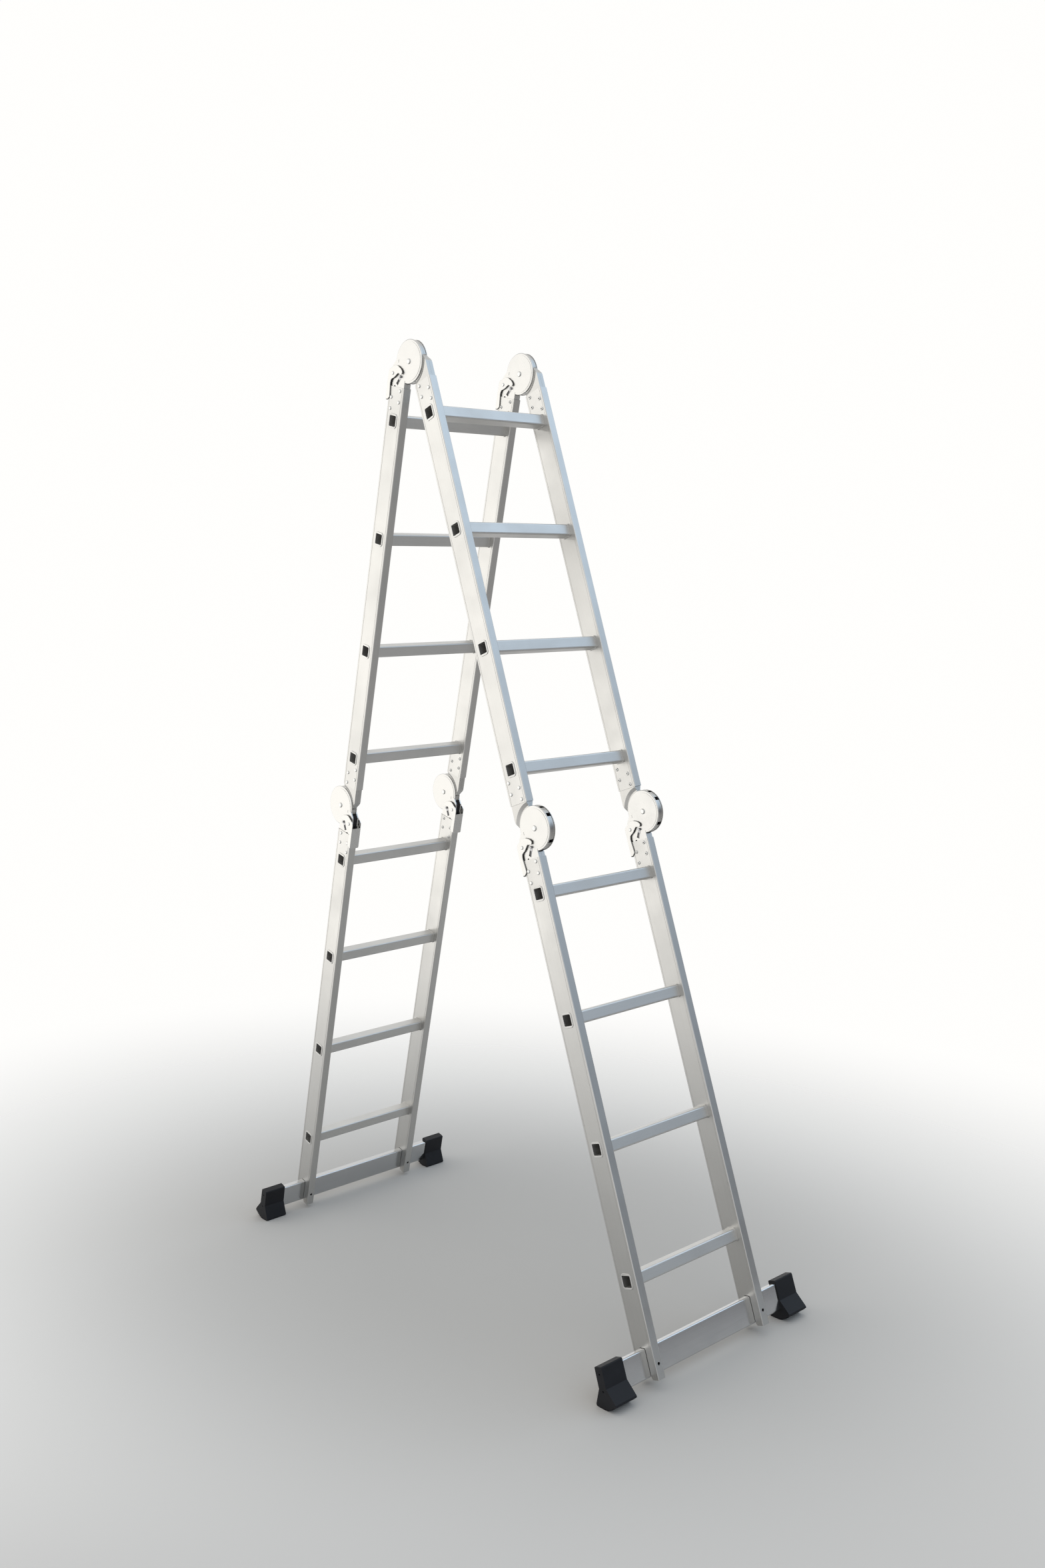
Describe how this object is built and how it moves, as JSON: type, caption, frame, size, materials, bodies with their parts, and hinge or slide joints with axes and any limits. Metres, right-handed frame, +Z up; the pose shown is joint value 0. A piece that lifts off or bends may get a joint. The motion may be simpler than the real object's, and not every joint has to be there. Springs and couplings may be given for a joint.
{
  "type": "folding ladder",
  "caption": "Multi-position folding ladder standing as an A-frame: square-tube rungs in box rails, disc hinges with release levers, and stabiliser bars on rubber feet.",
  "frame": {"origin": "on the floor under the top hinge axis, midway between the rails", "axes": "+Z up, +X along the rungs, -Y towards the front leg and +Y towards the rear leg"},
  "size_m": [0.611, 1.434, 2.2675],
  "materials": {
    "rail_aluminium": "mill finish extrusion with fine lengthwise lines",
    "rung_aluminium": "satin extrusion",
    "bar_aluminium": "satin extrusion",
    "hinge_steel": "bright zinc-plated pressing",
    "lever_steel": "bright zinc-plated pressing",
    "lock_steel": "plain steel",
    "rivet_steel": "zinc-plated",
    "guide_plastic": "moulded black plastic",
    "foot_rubber": "matt black rubber"
  },
  "bodies": {
    "front_upper_section": {"front_upper_left_rail": "rail_aluminium", "front_upper_right_rail": "rail_aluminium", "front_upper_rung_1": "rung_aluminium", "front_upper_rung_2": "rung_aluminium", "front_upper_rung_3": "rung_aluminium", "front_upper_rung_4": "rung_aluminium", "front_upper_fasteners": "rivet_steel", "front_mid_hinge_inner_leaves": "hinge_steel", "top_hinge_inner_leaves": "hinge_steel"},
    "front_lower_section": {"front_lower_left_rail": "rail_aluminium", "front_lower_right_rail": "rail_aluminium", "front_lower_rung_1": "rung_aluminium", "front_lower_rung_2": "rung_aluminium", "front_lower_rung_3": "rung_aluminium", "front_lower_rung_4": "rung_aluminium", "front_lower_fasteners": "rivet_steel", "front_stabiliser_bar": "bar_aluminium", "front_feet": "foot_rubber", "front_mid_hinge_outer_plates": "hinge_steel", "front_mid_hinge_bolt_guides": "guide_plastic", "front_mid_hinge_lock_springs": "lock_steel", "front_mid_hinge_pins": "rivet_steel"},
    "rear_upper_section": {"rear_upper_left_rail": "rail_aluminium", "rear_upper_right_rail": "rail_aluminium", "rear_upper_rung_1": "rung_aluminium", "rear_upper_rung_2": "rung_aluminium", "rear_upper_rung_3": "rung_aluminium", "rear_upper_rung_4": "rung_aluminium", "rear_upper_fasteners": "rivet_steel", "rear_mid_hinge_inner_leaves": "hinge_steel", "top_hinge_outer_plates": "hinge_steel", "top_hinge_bolt_guides": "guide_plastic", "top_hinge_lock_springs": "lock_steel", "top_hinge_pins": "rivet_steel"},
    "rear_lower_section": {"rear_lower_left_rail": "rail_aluminium", "rear_lower_right_rail": "rail_aluminium", "rear_lower_rung_1": "rung_aluminium", "rear_lower_rung_2": "rung_aluminium", "rear_lower_rung_3": "rung_aluminium", "rear_lower_rung_4": "rung_aluminium", "rear_lower_fasteners": "rivet_steel", "rear_stabiliser_bar": "bar_aluminium", "rear_feet": "foot_rubber", "rear_mid_hinge_outer_plates": "hinge_steel", "rear_mid_hinge_bolt_guides": "guide_plastic", "rear_mid_hinge_lock_springs": "lock_steel", "rear_mid_hinge_pins": "rivet_steel"},
    "top_hinge_left_lever": {"top_hinge_left_lever": "lever_steel"},
    "top_hinge_left_lock_bolt": {"top_hinge_left_lock_bolt": "lock_steel"},
    "top_hinge_right_lever": {"top_hinge_right_lever": "lever_steel"},
    "top_hinge_right_lock_bolt": {"top_hinge_right_lock_bolt": "lock_steel"},
    "front_mid_hinge_left_lever": {"front_mid_hinge_left_lever": "lever_steel"},
    "front_mid_hinge_left_lock_bolt": {"front_mid_hinge_left_lock_bolt": "lock_steel"},
    "front_mid_hinge_right_lever": {"front_mid_hinge_right_lever": "lever_steel"},
    "front_mid_hinge_right_lock_bolt": {"front_mid_hinge_right_lock_bolt": "lock_steel"},
    "rear_mid_hinge_left_lever": {"rear_mid_hinge_left_lever": "lever_steel"},
    "rear_mid_hinge_left_lock_bolt": {"rear_mid_hinge_left_lock_bolt": "lock_steel"},
    "rear_mid_hinge_right_lever": {"rear_mid_hinge_right_lever": "lever_steel"},
    "rear_mid_hinge_right_lock_bolt": {"rear_mid_hinge_right_lock_bolt": "lock_steel"}
  },
  "joints": [
    {"name": "top_fold", "type": "hinge", "parent": "rear_upper_section", "child": "front_upper_section", "pos_m": [0, 0, 2.21749], "axis": [1, 0, 0], "range_deg": [-147, 32.5]},
    {"name": "rear_mid_fold", "type": "hinge", "parent": "rear_upper_section", "child": "rear_lower_section", "pos_m": [0, 0.38138, 1.16236], "axis": [1, 0, 0], "range_deg": [0, 178.5]},
    {"name": "front_mid_fold", "type": "hinge", "parent": "front_upper_section", "child": "front_lower_section", "pos_m": [0, -0.38138, 1.16236], "axis": [-1, 0, 0], "range_deg": [0, 178.5]},
    {"name": "top_hinge_left_lever_pull", "type": "hinge", "parent": "rear_upper_section", "child": "top_hinge_left_lever", "pos_m": [-0.1675, 0.05827, 2.20034], "axis": [1, 0, 0], "range_deg": [0, 22], "stiffness_Nm_per_rad": 0.5, "springref_deg": -11.46},
    {"name": "top_hinge_left_lock_bolt_slide", "type": "slide", "parent": "rear_upper_section", "child": "top_hinge_left_lock_bolt", "axis": [0, 0.749, -0.6626], "range_m": [0, 0.0108], "deforming": ["top_hinge_lock_springs"]},
    {"name": "top_hinge_right_lever_pull", "type": "hinge", "parent": "rear_upper_section", "child": "top_hinge_right_lever", "pos_m": [0.1675, 0.05827, 2.20034], "axis": [1, 0, 0], "range_deg": [0, 22], "stiffness_Nm_per_rad": 0.5, "springref_deg": -11.46},
    {"name": "top_hinge_right_lock_bolt_slide", "type": "slide", "parent": "rear_upper_section", "child": "top_hinge_right_lock_bolt", "axis": [0, 0.749, -0.6626], "range_m": [0, 0.0108], "deforming": ["top_hinge_lock_springs"]},
    {"name": "front_mid_hinge_left_lever_pull", "type": "hinge", "parent": "front_lower_section", "child": "front_mid_hinge_left_lever", "pos_m": [-0.1675, -0.34185, 1.11623], "axis": [1, 0, 0], "range_deg": [0, 22], "stiffness_Nm_per_rad": 0.5, "springref_deg": -11.46},
    {"name": "front_mid_hinge_left_lock_bolt_slide", "type": "slide", "parent": "front_lower_section", "child": "front_mid_hinge_left_lock_bolt", "axis": [0, 0.2672, -0.9636], "range_m": [0, 0.0108], "deforming": ["front_mid_hinge_lock_springs"]},
    {"name": "front_mid_hinge_right_lever_pull", "type": "hinge", "parent": "front_lower_section", "child": "front_mid_hinge_right_lever", "pos_m": [0.1675, -0.34185, 1.11623], "axis": [1, 0, 0], "range_deg": [0, 22], "stiffness_Nm_per_rad": 0.5, "springref_deg": -11.46},
    {"name": "front_mid_hinge_right_lock_bolt_slide", "type": "slide", "parent": "front_lower_section", "child": "front_mid_hinge_right_lock_bolt", "axis": [0, 0.2672, -0.9636], "range_m": [0, 0.0108], "deforming": ["front_mid_hinge_lock_springs"]},
    {"name": "rear_mid_hinge_left_lever_pull", "type": "hinge", "parent": "rear_lower_section", "child": "rear_mid_hinge_left_lever", "pos_m": [-0.1675, 0.34185, 1.11623], "axis": [-1, 0, 0], "range_deg": [0, 22], "stiffness_Nm_per_rad": 0.5, "springref_deg": -11.46},
    {"name": "rear_mid_hinge_left_lock_bolt_slide", "type": "slide", "parent": "rear_lower_section", "child": "rear_mid_hinge_left_lock_bolt", "axis": [0, -0.2672, -0.9636], "range_m": [0, 0.0108], "deforming": ["rear_mid_hinge_lock_springs"]},
    {"name": "rear_mid_hinge_right_lever_pull", "type": "hinge", "parent": "rear_lower_section", "child": "rear_mid_hinge_right_lever", "pos_m": [0.1675, 0.34185, 1.11623], "axis": [-1, 0, 0], "range_deg": [0, 22], "stiffness_Nm_per_rad": 0.5, "springref_deg": -11.46},
    {"name": "rear_mid_hinge_right_lock_bolt_slide", "type": "slide", "parent": "rear_lower_section", "child": "rear_mid_hinge_right_lock_bolt", "axis": [0, -0.2672, -0.9636], "range_m": [0, 0.0108], "deforming": ["rear_mid_hinge_lock_springs"]}
  ],
  "couplings": [
    {"joint": "top_hinge_left_lock_bolt_slide", "follows": "top_hinge_left_lever_pull", "m_per_rad": 0.0272},
    {"joint": "top_hinge_right_lock_bolt_slide", "follows": "top_hinge_right_lever_pull", "m_per_rad": 0.0272},
    {"joint": "front_mid_hinge_left_lock_bolt_slide", "follows": "front_mid_hinge_left_lever_pull", "m_per_rad": 0.0272},
    {"joint": "front_mid_hinge_right_lock_bolt_slide", "follows": "front_mid_hinge_right_lever_pull", "m_per_rad": 0.0272},
    {"joint": "rear_mid_hinge_left_lock_bolt_slide", "follows": "rear_mid_hinge_left_lever_pull", "m_per_rad": 0.0272},
    {"joint": "rear_mid_hinge_right_lock_bolt_slide", "follows": "rear_mid_hinge_right_lever_pull", "m_per_rad": 0.0272}
  ]
}
